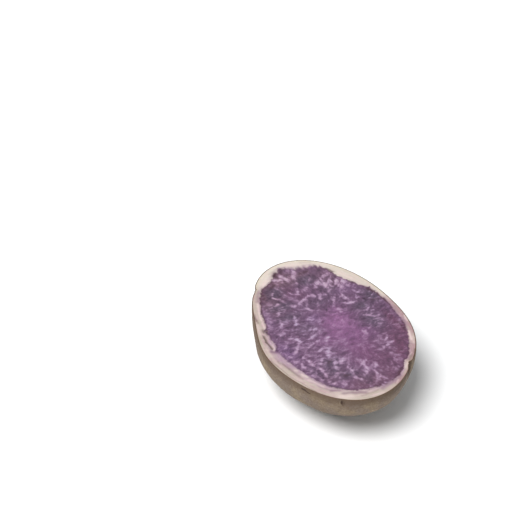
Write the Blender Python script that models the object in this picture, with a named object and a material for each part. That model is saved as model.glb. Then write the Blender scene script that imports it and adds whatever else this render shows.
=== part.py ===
# Half of a purple-fleshed potato, cut lengthwise and lying on its rounded back.
#
# The tuber grew as one piece, so the half is one solid: skin, pale cortex and purple
# flesh are three materials on one mesh. Its long axis runs along Y, the blunt end with
# most eyes is at -Y, and the stem end is at +Y. The cut face looks straight up. The
# origin is under the middle of the bounding box, on the surface the half rests on.

import math

import bmesh
import bpy
from mathutils import Vector, noise

# Driving dimensions, in metres
CUT_LENGTH = 0.0816
CUT_WIDTH = 0.0573
CUT_HEIGHT = 0.0245
CORTEX_WIDTH = 0.0036

# The back reaches this far below the cut before its lowest point is flattened to rest
FULL_DEPTH = 0.0249
FULLNESS = 2.10

# Departures of the cut outline from an ellipse: (waves round the edge, share, phase in degrees)
OUTLINE_WAVES = ((1, 0.0055, -75.0), (3, 0.0272, -74.0), (4, 0.0081, 24.0), (5, 0.0104, -158.0))

# Flanks that swell out below the cut: (how far, degrees round the edge, how broad in degrees)
SWELLS = ((0.0020, 165.0, 55.0), (0.0030, 340.0, 32.0), (0.0007, 279.0, 12.0))

# Broad unevenness of the skin, which fades to nothing at the cut
LUMP_HEIGHT = 0.0009
LUMP_SIZE = 0.021
LUMP_SEED = Vector((3.1, 7.4, 1.9))

# The lowest point lies this far from the middle of the cut, under the weight of the half
FOOT_SHIFT = Vector((-0.0006, 0.0004, 0.0))

# Eyes, as (degrees round the edge, degrees below the cut, brow length, pit depth, brow height).
# The first two are cut through by the knife and notch the outline.
EYES = (
    (121.0, 6.0, 0.0120, 0.00115, 0.00020),
    (301.8, 5.5, 0.0100, 0.00170, 0.00040),
    (251.0, 4.5, 0.0034, 0.00060, 0.00012),
    (28.0, 34.0, 0.0090, 0.00150, 0.00050),
    (197.0, 42.0, 0.0096, 0.00160, 0.00055),
    (342.0, 24.0, 0.0072, 0.00120, 0.00040),
    (262.0, 52.0, 0.0080, 0.00150, 0.00045),
    (76.0, 47.0, 0.0088, 0.00130, 0.00045),
    (330.0, 60.0, 0.0078, 0.00130, 0.00040),
)
EYE_SLENDERNESS = 0.46
EYE_HOLLOW_SHARE = 0.28
EYE_HOLLOW_SPREAD = 1.6
EYE_PIT_TAPER = 1.7
EYE_REACH = 4.0
BROW_OFFSET = 1.15
BROW_CURVE = 0.55
BROW_THICKNESS = 0.42

# The scar where the tuber hung on its stem, near the +Y end
STEM_SCAR_AT = (93.0, 13.0)
STEM_SCAR_RADIUS = 0.0021
STEM_SCAR_DEPTH = 0.0011
SCAR_COLLAR_RADIUS = 1.6
SCAR_COLLAR_WIDTH = 0.5
SCAR_COLLAR_SHARE = 0.25

# Faces along each edge of the ball that the half is shaped from; an even number puts a row on the cut
BALL_FACES = 36

SHARP_EDGE = math.radians(50.0)

# How near to height zero a point of the ball counts as lying on the cut
ON_CUT = 1e-6

# What the half is made of, from outside in: (name, colour, roughness)
SKIN = ("skin", (0.33, 0.25, 0.18), 0.75)
CORTEX = ("cortex", (0.66, 0.52, 0.45), 0.45)
FLESH = ("flesh", (0.20, 0.10, 0.19), 0.40)
LAYERS = (SKIN, CORTEX, FLESH)


def outline_radius(angle):
    """Distance from the middle of the cut to its edge, in the direction angle."""
    ellipse = 1.0 / math.hypot(
        math.cos(angle) / (CUT_WIDTH / 2), math.sin(angle) / (CUT_LENGTH / 2)
    )
    waves = sum(
        share * math.cos(count * angle - math.radians(phase))
        for count, share, phase in OUTLINE_WAVES
    )
    return ellipse * (1.0 + waves)


def turned_by(angle, other):
    """The angle from other to angle, between minus and plus half a turn."""
    return (angle - other + math.pi) % math.tau - math.pi


def plain_back(angle, below):
    """Point of the back without eyes, for a direction round the edge and an angle below the cut."""
    level, deep = math.cos(below), math.sin(below)
    full = (level**FULLNESS + deep**FULLNESS) ** (-1.0 / FULLNESS)
    swell = sum(
        far * math.exp(-((turned_by(angle, math.radians(at)) / math.radians(breadth)) ** 2))
        for far, at, breadth in SWELLS
    )
    reach = outline_radius(angle) * level * full + swell * 2.0 * level * deep
    point = Vector((reach * math.cos(angle), reach * math.sin(angle), -FULL_DEPTH * deep * full))
    point += FOOT_SHIFT * deep**2
    lump = LUMP_HEIGHT * deep * noise.noise(point / LUMP_SIZE + LUMP_SEED)
    return point + lump * outward(point)


def outward(point):
    """Direction out of the skin at a point, taken from the ellipsoid nearest the tuber."""
    return Vector(
        (
            point.x / (CUT_WIDTH / 2) ** 2,
            point.y / (CUT_LENGTH / 2) ** 2,
            point.z / FULL_DEPTH**2,
        )
    ).normalized()


def frame_on_skin(around, below):
    """A place on the skin, given in degrees, with the directions to the stem end and along a brow."""
    place = plain_back(math.radians(around), math.radians(below))
    out = outward(place)
    to_stem = Vector((0.0, 1.0, 0.0))
    to_stem = (to_stem - out * to_stem.dot(out)).normalized()
    return place, to_stem, to_stem.cross(out)


def eye_relief(point, frame, brow_length, pit, brow):
    """Height that one eye adds to the skin at a point: a pit with a curved brow on its stem side."""
    place, to_stem, along_brow = frame
    half_brow = brow_length / 2
    away = point - place
    if away.length > EYE_REACH * half_brow:
        return 0.0
    along = away.dot(along_brow) / half_brow
    across = away.dot(to_stem) / (half_brow * EYE_SLENDERNESS)
    hollow = math.exp(-(along**2 + (across * EYE_SLENDERNESS) ** 2) / EYE_HOLLOW_SPREAD)
    deep = math.exp(-(EYE_PIT_TAPER * along**2 + across**2))
    sunk = pit * (EYE_HOLLOW_SHARE * hollow + (1.0 - EYE_HOLLOW_SHARE) * deep)
    crest = (across - BROW_OFFSET + BROW_CURVE * along**2) / BROW_THICKNESS
    return brow * math.exp(-(crest**2) - along**2) - sunk


def scar_relief(point, place):
    """Height that the stem scar adds: a small round dimple with a slight collar."""
    away = (point - place).length / STEM_SCAR_RADIUS
    collar = math.exp(-(((away - SCAR_COLLAR_RADIUS) / SCAR_COLLAR_WIDTH) ** 2))
    return STEM_SCAR_DEPTH * (SCAR_COLLAR_SHARE * collar - math.exp(-(away**2)))


def skin_point(direction, eyes, scar):
    """Point of the half's back for a direction from the middle of the cut."""
    angle = math.atan2(direction.y, direction.x)
    below = math.asin(max(0.0, min(1.0, -direction.z)))
    point = plain_back(angle, below)
    relief = sum(eye_relief(point, *eye) for eye in eyes) + scar_relief(point, scar)
    out = outward(point)
    if below == 0.0:
        out = Vector((out.x, out.y, 0.0))
    point += relief * out
    point.z = max(point.z, -CUT_HEIGHT)
    return point


def ball():
    """A ball of near-even quads whose middle row lies at height zero."""
    bm = bmesh.new()
    bmesh.ops.create_cube(bm, size=2.0)
    bmesh.ops.subdivide_edges(bm, edges=bm.edges[:], cuts=BALL_FACES - 1, use_grid_fill=True)
    for vertex in bm.verts:
        even = Vector(math.tan(part * math.pi / 4) for part in vertex.co)
        vertex.co = even.normalized()
    return bm


def cut_away_top(bm):
    """Removes the half of the ball above the cut."""
    above = [vertex for vertex in bm.verts if vertex.co.z > ON_CUT]
    bmesh.ops.delete(bm, geom=above, context="VERTS")
    for vertex in bm.verts:
        if abs(vertex.co.z) < ON_CUT:
            vertex.co.z = 0.0


def shape_back(bm):
    """Moves every point of the half ball onto the potato's skin."""
    eyes = [(frame_on_skin(around, below), *sizes) for around, below, *sizes in EYES]
    scar = frame_on_skin(*STEM_SCAR_AT)[0]
    for vertex in bm.verts:
        vertex.co = skin_point(vertex.co, eyes, scar)


def close_cut(bm):
    """Fills the cut face, as a rim of cortex round the flesh."""
    edge = [e for e in bm.edges if e.is_boundary]
    face = bmesh.ops.contextual_create(bm, geom=edge)["faces"][0]
    face.normal_update()
    if face.normal.z < 0:
        face.normal_flip()
    rim = bmesh.ops.inset_region(bm, faces=[face], thickness=CORTEX_WIDTH, use_even_offset=True)
    for part in rim["faces"]:
        part.material_index = LAYERS.index(CORTEX)
    face.material_index = LAYERS.index(FLESH)
    for part in (*rim["faces"], face):
        part.smooth = False


def set_on_ground(bm):
    """Puts the origin under the middle of the bounding box, on the resting surface."""
    low = Vector(min(vertex.co[axis] for vertex in bm.verts) for axis in range(3))
    high = Vector(max(vertex.co[axis] for vertex in bm.verts) for axis in range(3))
    middle = (low + high) / 2
    bmesh.ops.translate(bm, vec=Vector((-middle.x, -middle.y, -low.z)), verts=bm.verts)


def finish(name, colour, roughness):
    """A plain material in the colour that the part shows."""
    material = bpy.data.materials.new(name)
    material.use_nodes = True
    shader = material.node_tree.nodes["Principled BSDF"]
    shader.inputs["Base Color"].default_value = (*colour, 1.0)
    shader.inputs["Roughness"].default_value = roughness
    shader.inputs["Metallic"].default_value = 0.0
    return material


def make_potato_half():
    bm = ball()
    cut_away_top(bm)
    shape_back(bm)
    for face in bm.faces:
        face.smooth = True
    close_cut(bm)
    bmesh.ops.recalc_face_normals(bm, faces=bm.faces)
    set_on_ground(bm)
    mesh = bpy.data.meshes.new("potato_half")
    bm.to_mesh(mesh)
    bm.free()
    for layer in LAYERS:
        mesh.materials.append(finish(*layer))
    mesh.set_sharp_from_angle(angle=SHARP_EDGE)
    half = bpy.data.objects.new("potato_half", mesh)
    bpy.context.scene.collection.objects.link(half)
    return half


def main():
    for old in list(bpy.data.objects):
        bpy.data.objects.remove(old)
    make_potato_half()


main()
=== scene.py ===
# %% [markdown]
# # Half of a purple potato
#
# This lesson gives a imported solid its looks. The solid is half of a long oval potato, cut lengthwise, and
# it lies on its rounded back with the cut face up. Everything is in metres, in the solid's own frame: +Y
# runs along the tuber to the stem end, +X across it, and +Z is square to the cut.

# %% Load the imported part
import math

import bmesh
import bpy
import numpy as np
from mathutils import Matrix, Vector, noise


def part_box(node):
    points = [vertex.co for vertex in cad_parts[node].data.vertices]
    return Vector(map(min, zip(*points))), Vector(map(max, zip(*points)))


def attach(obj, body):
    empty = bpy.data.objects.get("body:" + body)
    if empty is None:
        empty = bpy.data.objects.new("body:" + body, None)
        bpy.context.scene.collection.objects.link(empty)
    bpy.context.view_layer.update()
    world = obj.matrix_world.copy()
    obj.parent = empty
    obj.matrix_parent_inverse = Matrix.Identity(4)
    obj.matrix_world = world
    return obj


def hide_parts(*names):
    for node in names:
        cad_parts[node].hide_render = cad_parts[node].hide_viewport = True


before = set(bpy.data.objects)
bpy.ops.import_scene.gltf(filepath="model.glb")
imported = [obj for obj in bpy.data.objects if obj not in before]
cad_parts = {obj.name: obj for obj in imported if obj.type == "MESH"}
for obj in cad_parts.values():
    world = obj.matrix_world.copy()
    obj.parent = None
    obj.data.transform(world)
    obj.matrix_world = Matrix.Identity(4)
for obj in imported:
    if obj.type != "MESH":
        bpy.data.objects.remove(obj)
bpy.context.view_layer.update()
MM = 0.001
NODE = "potato_half"
half_low, half_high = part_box(NODE)
TOP = half_high.z

# %% [markdown]
# ## The camera
#
# A camera can be placed by hand until things line up, or from a few measured facts. The facts are better,
# because the cut is flat and its outline gives them: it was seen from 40 degrees above the table, through
# a long lens, and the tuber's stem end points up and a little to the left. A picture point is 0.42 mm on
# the table under the picture's middle, and 0.38 mm on the cut, which is nearer. Later cells place the
# lamps by the same view, so a helper turns "right, away, up" into the part's frame.

# %% Place the camera
PICTURE_WIDTH = 524
FOCAL_LENGTH_IN_PICTURE_POINTS = 1600
METRES_PER_PICTURE_POINT = 0.42 * MM
SENSOR_WIDTH = 36.0
VIEW_ELEVATION = math.radians(40.0)
VIEW_AZIMUTH = math.radians(-23.3)
MIDDLE_OF_PICTURE = Vector((2.54 * MM, 71.47 * MM, 0.0))


def as_seen(right, away, up):
    """A direction or offset given as the camera sees it, in the part's frame."""
    east, north = math.cos(VIEW_AZIMUTH), math.sin(VIEW_AZIMUTH)
    return Vector((right * east - away * north, right * north + away * east, up))


scene = bpy.context.scene
camera = bpy.data.objects.new("camera", bpy.data.cameras.new("camera"))
scene.collection.objects.link(camera)
scene.camera = camera
camera.data.sensor_width = SENSOR_WIDTH
camera.data.lens = SENSOR_WIDTH * FOCAL_LENGTH_IN_PICTURE_POINTS / PICTURE_WIDTH
back = as_seen(0.0, -math.cos(VIEW_ELEVATION), math.sin(VIEW_ELEVATION))
view_distance = FOCAL_LENGTH_IN_PICTURE_POINTS * METRES_PER_PICTURE_POINT
camera.location = MIDDLE_OF_PICTURE + back * view_distance
camera.rotation_euler = back.to_track_quat("Z", "Y").to_euler()
print(f"lens {camera.data.lens:.1f} mm, {view_distance:.3f} m from the table under the picture's middle")

# %% [markdown]
# ## The tuber's form
#
# A potato is close to an ellipsoid, and what makes it a potato is how it departs from one. The solid was
# shaped by a formula: an outline with a few long waves, a back that falls away below it, a flank that
# swells, broad lumps, and eyes. The same formula is repeated here with numpy, so that a mesh with eleven
# times the faces lies on the same surface. Sculpting the coarse solid further would keep its facets.

# %% The outline
CUT_LENGTH = 81.6 * MM
CUT_WIDTH = 57.3 * MM
CUT_HEIGHT = 24.5 * MM
FULL_DEPTH = 24.9 * MM
FULLNESS = 2.10
OUTLINE_WAVES = ((1, 0.0055, -75.0), (3, 0.0272, -74.0), (4, 0.0081, 24.0), (5, 0.0104, -158.0))
# Flanks that swell out below the cut: (how far in millimetres, degrees round the edge, how broad in degrees)
SWELLS = ((2.0, 165.0, 55.0), (3.0, 340.0, 32.0), (0.7, 279.0, 12.0))
LUMP_HEIGHT = 0.9 * MM
LUMP_SIZE = 21.0 * MM
LUMP_SEED = (3.1, 7.4, 1.9)
FOOT_SHIFT = np.array((-0.6 * MM, 0.4 * MM, 0.0))


def cloud(points, size, seed):
    """Smooth noise at each point, from about -1 to 1, with features of that size."""
    shift = Vector(seed)
    return np.array([noise.noise(Vector(point) / size + shift) for point in points.tolist()])


def outline_radius(angle):
    """Distance from the middle of the cut to its edge, in the direction angle."""
    ellipse = 1.0 / np.hypot(np.cos(angle) / (CUT_WIDTH / 2), np.sin(angle) / (CUT_LENGTH / 2))
    waves = sum(
        share * np.cos(count * angle - math.radians(phase)) for count, share, phase in OUTLINE_WAVES
    )
    return ellipse * (1.0 + waves)


def turned_by(angle, other):
    """The angle from other to angle, between minus and plus half a turn."""
    return (angle - other + math.pi) % math.tau - math.pi


print(f"the outline's reach to the stem end is {outline_radius(math.pi / 2) / MM:.1f} mm")


# %% The plain back
def outward(points):
    """Direction out of the skin at each point, taken from the ellipsoid nearest the tuber."""
    away = points / np.array(((CUT_WIDTH / 2) ** 2, (CUT_LENGTH / 2) ** 2, FULL_DEPTH**2))
    return away / np.linalg.norm(away, axis=1, keepdims=True)


def plain_back(angle, below):
    """Points of the back without eyes, for directions round the edge and angles below the cut."""
    level, deep = np.cos(below), np.sin(below)
    full = (level**FULLNESS + deep**FULLNESS) ** (-1.0 / FULLNESS)
    swell = sum(
        far * MM * np.exp(-((turned_by(angle, math.radians(at)) / math.radians(breadth)) ** 2))
        for far, at, breadth in SWELLS
    )
    reach = outline_radius(angle) * level * full + swell * 2.0 * level * deep
    points = np.stack((reach * np.cos(angle), reach * np.sin(angle), -FULL_DEPTH * deep * full), axis=1)
    points += FOOT_SHIFT * (deep**2)[:, None]
    lump = LUMP_HEIGHT * deep * cloud(points, LUMP_SIZE, LUMP_SEED)
    return points + lump[:, None] * outward(points)


flank = plain_back(np.radians([0.0]), np.radians([45.0]))[0]
print("half-way down the +X flank the skin is at, mm:", [round(value / MM, 1) for value in flank])

# %% [markdown]
# ## Eyes and the stem scar
#
# An eye is the bud of a leaf that never grew. It sits in a pit, under a curved brow on its stem side, and
# eyes wind round the tuber and crowd towards the blunt end. A normal map could suggest them, but an eye
# shows in the silhouette, so each is a bump and a hollow added along the skin's normal. The sum is kept
# also as a mask, which the skin's colour will use: painted shade in the pit and fold, and a worn pale brow.

# %% Where the eyes are and how they are shaped
# Each is (degrees round the edge, degrees below the cut, brow length, pit depth, brow height), in millimetres
EYES = (
    (121.0, 6.0, 12.0, 1.15, 0.20),
    (301.8, 5.5, 10.0, 1.70, 0.40),
    (251.0, 4.5, 3.4, 0.60, 0.12),
    (28.0, 34.0, 9.0, 1.50, 0.50),
    (197.0, 42.0, 9.6, 1.60, 0.55),
    (342.0, 24.0, 7.2, 1.20, 0.40),
    (262.0, 52.0, 8.0, 1.50, 0.45),
    (76.0, 47.0, 8.8, 1.30, 0.45),
    (330.0, 60.0, 7.8, 1.30, 0.40),
)
EYE_SLENDERNESS = 0.46
EYE_HOLLOW_SHARE = 0.28
EYE_HOLLOW_SPREAD = 1.6
EYE_PIT_TAPER = 1.7
BROW_OFFSET = 1.15
BROW_CURVE = 0.55
BROW_THICKNESS = 0.42
CREASE_DEPTH = 0.30 * MM
CREASE_AT = 0.42
CREASE_THICKNESS = 0.20
BUD_HEIGHT = 0.38 * MM
BUD_RADIUS = 0.62 * MM
# Places of the buds in an eye, in half-brows: (along the brow, towards the stem end)
BUDS = ((-0.34, -0.06), (0.04, -0.16), (0.40, -0.02))
EYE_REACH = 4.0
CREASE_TAPER = 1.6
# How much painted shade the parts of an eye get, and how pale its worn parts
HOLLOW_PAINTED_SHADE = 0.30
PIT_PAINTED_SHADE = 0.40
FOLD_PAINTED_SHADE = 0.75
BUD_RIM_PAINTED_SHADE = 0.50
RIDGE_WORN = 0.80
BUD_WORN = 0.60
STEM_SCAR_AT = (93.0, 13.0)
STEM_SCAR_RADIUS = 2.1 * MM
STEM_SCAR_DEPTH = 1.1 * MM
SCAR_COLLAR_RADIUS = 1.6
SCAR_COLLAR_WIDTH = 0.5
SCAR_COLLAR_SHARE = 0.25
SCAR_BROWN = 0.90
COLLAR_WORN = 0.50

print(f"{len(EYES)} eyes, brows {min(e[2] for e in EYES)} to {max(e[2] for e in EYES)} mm long")


# %% A smooth step and a place on the skin
def spread(low, high, value):
    """0 below low, 1 above high, and a smooth rise between."""
    share = np.clip((value - low) / (high - low), 0.0, 1.0)
    return share**2 * (3.0 - 2.0 * share)


def frame_on_skin(around, below):
    """A place on the skin, given in degrees, with the directions to the stem end and along a brow."""
    place = plain_back(np.radians([around]), np.radians([below]))
    out = outward(place)[0]
    to_stem = np.array((0.0, 1.0, 0.0))
    to_stem -= out * to_stem.dot(out)
    to_stem /= np.linalg.norm(to_stem)
    return place[0], to_stem, np.cross(to_stem, out)


scar_place = frame_on_skin(*STEM_SCAR_AT)[0]
print("the stem scar's middle, mm:", [round(value / MM, 1) for value in scar_place])


# %% Relief of an eye and of the scar
def eye_relief(points, around, below, brow_length, pit, brow):
    """What one eye adds to the skin, and how it tints it: (height, how much painted shade, how pale)."""
    place, to_stem, along_brow = frame_on_skin(around, below)
    half_brow = brow_length * MM / 2
    away = points - place
    near = np.linalg.norm(away, axis=1) < EYE_REACH * half_brow
    along = away @ along_brow / half_brow
    across = away @ to_stem / (half_brow * EYE_SLENDERNESS)
    hollow = np.exp(-(along**2 + (across * EYE_SLENDERNESS) ** 2) / EYE_HOLLOW_SPREAD)
    deep = np.exp(-(EYE_PIT_TAPER * along**2 + across**2))
    sunk = pit * MM * (EYE_HOLLOW_SHARE * hollow + (1.0 - EYE_HOLLOW_SHARE) * deep)
    crest = (across - BROW_OFFSET + BROW_CURVE * along**2) / BROW_THICKNESS
    fold = (across - CREASE_AT + BROW_CURVE * along**2) / CREASE_THICKNESS
    crease = np.exp(-(fold**2) - CREASE_TAPER * along**2)
    ridge = np.exp(-(crest**2) - along**2)
    bud = np.zeros(len(points))
    for beside, up in BUDS:
        at = place + half_brow * (beside * along_brow + up * to_stem)
        bud = np.maximum(bud, np.exp(-((np.linalg.norm(points - at, axis=1) / BUD_RADIUS) ** 2)))
    height = brow * MM * ridge - sunk + pit * (BUD_HEIGHT * bud - CREASE_DEPTH * crease)
    bud_rim = deep * (1.0 - bud) * spread(0.1, 0.5, bud)
    # Painted shade in the eye's hollow, pit and fold, and round its buds
    brown = HOLLOW_PAINTED_SHADE * hollow**2 + PIT_PAINTED_SHADE * deep + FOLD_PAINTED_SHADE * crease + BUD_RIM_PAINTED_SHADE * bud_rim
    worn = RIDGE_WORN * ridge + BUD_WORN * bud * deep
    return np.where(near, height, 0.0), np.where(near, brown, 0.0), np.where(near, worn, 0.0)


def scar_relief(points):
    """What the stem scar adds: a small round dimple with a slight collar, brown in its middle."""
    away = np.linalg.norm(points - scar_place, axis=1) / STEM_SCAR_RADIUS
    collar = np.exp(-(((away - SCAR_COLLAR_RADIUS) / SCAR_COLLAR_WIDTH) ** 2))
    pit = np.exp(-(away**2))
    return STEM_SCAR_DEPTH * (SCAR_COLLAR_SHARE * collar - pit), SCAR_BROWN * pit, COLLAR_WORN * collar


print(f"the scar is {-scar_relief(scar_place[None])[0][0] / MM:.1f} mm deep in its middle")

# %% [markdown]
# ## Pores and unevenness of the skin
#
# Close up, the skin has pores called lenticels, a millimetre across and a little proud, and it is finely
# pebbled. The larger ones are given as relief here, from the cells of a Voronoi pattern with a few cells
# left bare, because dots on a grid would look printed. Anything finer than the mesh comes later, in the
# material.

# %% Relief of the skin
PORE_SPACING = 4.6 * MM
PORE_RADIUS = 0.75 * MM
PORE_HEIGHT = 0.11 * MM
BARE_CELLS_BELOW = -0.2
CELL_SHUFFLE = 7.0
PEBBLE_SIZE = 1.7 * MM
PEBBLE_HEIGHT = 0.05 * MM
DENT_SIZE = 8.0 * MM
DENT_HEIGHT = 0.22 * MM
# Sine of the angle below the cut at which the relief reaches its full height
FULL_RELIEF_AT = 0.12


def pores(points):
    """A mask of raised pores, from 0 to 1, one near the middle of most cells."""
    found = []
    for point in points.tolist():
        distances, places = noise.voronoi(Vector(point) / PORE_SPACING)
        worth = noise.cell(places[0] * CELL_SHUFFLE)
        height = max(0.0, 1.0 - distances[0] * PORE_SPACING / PORE_RADIUS)
        found.append(height if worth > BARE_CELLS_BELOW else 0.0)
    return np.array(found)


def skin_points(angle, below):
    """Points of the skin with its finer relief, and how the scar and eyes tint it: (points, the scar's brown
    with the eyes' painted shade, how pale).
    """
    points = plain_back(angle, below)
    out = outward(points)
    out[below == 0.0, 2] = 0.0
    height, brown, worn = scar_relief(points)
    for eye in EYES:
        more, eye_painted_shade, paler = eye_relief(points, *eye)
        height += more
        # The stem scar's own brown, with the eyes' painted shade laid over it
        brown = np.maximum(brown, eye_painted_shade)
        worn = np.maximum(worn, paler)
    fade = np.clip(np.sin(below) / FULL_RELIEF_AT, 0.0, 1.0)
    height += fade * DENT_HEIGHT * cloud(points, DENT_SIZE, (5.0, 2.0, 8.0))
    height += fade * PEBBLE_HEIGHT * cloud(points, PEBBLE_SIZE, (1.0, 9.0, 4.0))
    height += fade * PORE_HEIGHT * pores(points)
    points = points + height[:, None] * out
    points[:, 2] = np.maximum(points[:, 2], -CUT_HEIGHT)
    return points, brown, worn


print(f"pores stand {PORE_HEIGHT / MM:.2f} mm proud, about {PORE_SPACING / MM:.1f} mm apart")

# %% [markdown]
# ## One closed mesh
#
# The half is one piece, so it gets one closed mesh: a cube, split fine and blown up to a ball. Its lower
# half becomes the skin. Its upper half is pressed flat and becomes the cut, with rows at an even distance
# from the middle, and closer together at the edge, where the skin's thin lip stands. A fan of triangles
# from the middle would pinch there, and a filled polygon would have no points in it to colour or move.

# %% Make the ball and find each point's place
BALL_FACES = 120
EDGE_ROWS_CLOSE_UP = 0.016
# A point of the ball this near to height zero is on the cut's edge
NEAR_ZERO = 1e-6

mesh_maker = bmesh.new()
bmesh.ops.create_cube(mesh_maker, size=2.0)
bmesh.ops.subdivide_edges(mesh_maker, edges=mesh_maker.edges[:], cuts=BALL_FACES - 1, use_grid_fill=True)
mesh = bpy.data.meshes.new("potato_half_fine")
mesh_maker.to_mesh(mesh)
mesh_maker.free()

ball = np.empty(len(mesh.vertices) * 3)
mesh.vertices.foreach_get("co", ball)
ball = np.tan(ball.reshape(-1, 3) * math.pi / 4)
ball /= np.linalg.norm(ball, axis=1, keepdims=True)
ball[np.abs(ball[:, 2]) < NEAR_ZERO, 2] = 0.0
around = np.arctan2(ball[:, 1], ball[:, 0])
below = np.arcsin(np.clip(-ball[:, 2], -1.0, 1.0))
on_cut = below < 0.0
on_skin = ~on_cut
print(f"{on_cut.sum()} points on the cut, {on_skin.sum()} on the skin")

# %% Shape the skin and press the cut flat
points = np.zeros_like(ball)
points[on_skin], scar_brown_and_eye_painted_shade, eye_worn = skin_points(around[on_skin], below[on_skin])

rim = skin_points(around[on_cut], np.zeros(on_cut.sum()))[0]
from_edge = -below[on_cut] / (math.pi / 2)
from_edge *= from_edge / (from_edge + EDGE_ROWS_CLOSE_UP)
from_edge /= from_edge.max()
points[on_cut] = rim * (1.0 - from_edge)[:, None]
rim_distance = np.linalg.norm(rim, axis=1) * from_edge

# The solid's origin is under the middle of its box, and the outline's own middle is a little off it
outline_middle = Vector((half_low + half_high) / 2) - Vector((points.min(axis=0) + points.max(axis=0)) / 2)
outline_middle.z = TOP
points += np.array(outline_middle)
cut_places = points[on_cut] / MM
print(f"the outline's middle is at {outline_middle.x / MM:.2f}, {outline_middle.y / MM:.2f} mm")

# %% [markdown]
# ## The pale ring
#
# Under the skin lies the cortex, a pale ring 2 to 6 mm wide. Its inner edge is where the colour stops,
# and no formula gives that: it dips and steps. So the width is read at places round the edge, a smooth
# curve goes through them, and two sizes of noise roughen it. Every point of the cut then knows where it
# is across the ring, from 0 at the skin to 1 at the flesh. A colour edge drawn from such a number stays
# sharp, however coarse the mesh is.

# %% Width of the ring
# Degrees round the edge, and the ring's width there in millimetres
RING_WIDTHS = (
    (1, 2.3), (10, 1.9), (19, 2.0), (28, 2.1), (33, 2.6), (40, 4.2), (48, 4.7), (56, 5.6), (61, 5.2),
    (65, 4.5), (69, 3.3), (76, 2.6), (81, 3.7), (87, 4.5), (91, 3.9), (96, 2.7), (101, 3.4), (107, 5.2),
    (111, 5.0), (119, 2.7), (124, 2.9), (132, 3.3), (140, 3.3), (148, 3.6), (158, 3.9), (162, 3.2),
    (168, 4.3), (175, 4.7), (181, 5.6), (189, 5.0), (195, 5.1), (211, 5.9), (220, 6.0), (229, 5.8),
    (245, 5.3), (258, 5.2), (268, 4.9), (273, 4.0), (279, 3.2), (284, 2.8), (289, 2.4), (295, 2.1),
    (301, 2.0), (306, 2.2), (312, 2.3), (320, 2.6), (332, 2.6), (345, 2.1), (353, 2.5),
)
SCALLOP_SIZE = 1.9
SCALLOP_DEPTH = 0.34
NIBBLE_SIZE = 0.7
NIBBLE_DEPTH = 0.16


def round_the_edge(values, degrees):
    """A smooth curve through (degrees, value) pairs that closes on itself, read at other degrees."""
    at, value = np.array(values, float).T
    at = np.concatenate((at[-2:] - 360.0, at, at[:2] + 360.0))
    value = np.concatenate((value[-2:], value, value[:2]))
    index = np.clip(np.searchsorted(at, degrees) - 1, 1, len(at) - 3)
    share = (degrees - at[index]) / (at[index + 1] - at[index])
    slope = np.gradient(value, at)
    gap = at[index + 1] - at[index]
    rise = share**2 * (3.0 - 2.0 * share)
    start = share * (1.0 - share) ** 2 * gap * slope[index]
    end = share**2 * (share - 1.0) * gap * slope[index + 1]
    return value[index] * (1.0 - rise) + value[index + 1] * rise + start + end


degrees = np.degrees(around[on_cut]) % 360.0
from_rim = rim_distance / MM
ring_width = round_the_edge(RING_WIDTHS, degrees)
ring_width += SCALLOP_DEPTH * cloud(cut_places, SCALLOP_SIZE, (2.0, 5.0, 3.0))
ring_width += NIBBLE_DEPTH * cloud(cut_places, NIBBLE_SIZE, (8.0, 1.0, 6.0))
across_ring = from_rim / ring_width
past_ring = from_rim - ring_width
print(f"the ring is {ring_width.min():.1f} to {ring_width.max():.1f} mm wide")

# %% [markdown]
# ## Zones of the flesh
#
# The flesh isn't one purple. The pith in the middle is smooth and magenta, slate-blue clouds lie to both
# sides of it, and the blunt end is redder. Near the ends the flesh is dusty, a little browner, and its
# flecks are warm. Over the middle of the left side they are cool. In some places there are hardly any
# flecks and the dark strands show, which the last set, the shade, will do to the marbling. Painting by
# hand would show all this, but a few soft ovals say the same in the script, and they can be moved. Each
# has a middle, two half-widths, a turn and a strength, and noise frays its border.

# %% Soft ovals of colour
# (x, y, half-width across, half-width along, turn in degrees, strength), in millimetres from the box's middle
PITH = (
    (3.5, 0, 6, 7.5, -15, 0.95),
    (4.5, -9.5, 6.5, 6, 5, 0.65),
    (4.5, -17, 5.5, 6, 5, 0.4),
    (-4.5, -6, 5, 2.6, 20, 0.5),
    (10, -7, 2.6, 5, 50, 0.45),
)
PITH_CORE = (
    (3.6, 0.8, 4.4, 3.6, 0, 0.85),
    (5.2, 6.5, 2, 3.4, -10, 0.6),
    (0.5, -4.5, 2.6, 3.2, 20, 0.45),
    (6.8, -4, 2, 3.4, 30, 0.45),
)
SLATE = (
    (-12, 25.5, 3.4, 3, 0, 0.95),
    (-13, 17, 5, 2.6, 0, 0.85),
    (-12.5, 10.5, 4.5, 2.4, 0, 0.75),
    (-9, 2.5, 4.5, 4, 0, 0.45),
    (2.5, 28, 3.8, 3.2, 0, 0.75),
    (8, 21, 2.6, 4.5, 0, 0.55),
    (1, 14.5, 6, 3, 0, 0.45),
    (22, 10, 2.6, 4.2, 15, 0.95),
    (15.5, 6, 3.4, 2.4, 0, 0.8),
    (16, -3, 3.4, 5.2, 10, 0.75),
    (-8.5, -18.5, 4, 2.6, 0, 0.9),
    (-10, -23, 3, 2.6, 0, 0.65),
    (-5.5, -26.5, 4, 2, 0, 0.75),
    (-16, -21, 1.8, 3, 15, 0.5),
    (0.5, -30.5, 2, 3.2, 0, 0.4),
)
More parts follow.
